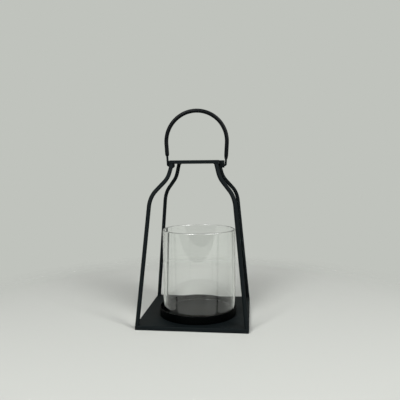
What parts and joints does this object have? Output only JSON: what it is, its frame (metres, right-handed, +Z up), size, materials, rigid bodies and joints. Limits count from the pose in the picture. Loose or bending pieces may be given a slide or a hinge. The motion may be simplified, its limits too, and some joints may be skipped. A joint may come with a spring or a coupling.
{
  "type": "candle lantern",
  "caption": "Open candle lantern: a cage of bent black rod on a square sheet base, a clear glass tube standing in a low dish, a small top plate and a swinging wire bail with a sleeve grip.",
  "frame": {"origin": "middle of the base's underside, on the surface that the lantern stands on", "axes": "+Z up, +X to the right seen from the front, +Y to the back; the bail swings about X"},
  "size_m": [0.161, 0.161, 0.3179],
  "materials": {
    "frame_paint": "satin black powder coat on steel",
    "dish_paint": "satin black paint on spun steel",
    "grip_leather": "smooth black leather sleeve",
    "clear_glass": "clear, smooth"
  },
  "bodies": {
    "frame": {"base_tray": "frame_paint", "leg_front_left": "frame_paint", "leg_front_right": "frame_paint", "leg_back_left": "frame_paint", "leg_back_right": "frame_paint", "top_plate": "frame_paint", "hinge_lug_left": "frame_paint", "hinge_lug_right": "frame_paint", "candle_dish": "dish_paint"},
    "handle": {"bail_wire": "frame_paint", "grip_sleeve": "grip_leather"},
    "glass": {"glass_cylinder": "clear_glass"}
  },
  "joints": [
    {"name": "handle_swing", "type": "hinge", "parent": "frame", "child": "handle", "pos_m": [0, 0, 0.2318], "axis": [1, 0, 0], "range_deg": [-111, 111]},
    {"name": "glass_lift", "type": "slide", "parent": "frame", "child": "glass", "axis": [0, 0, 1], "range_m": [0, 0.06]}
  ]
}
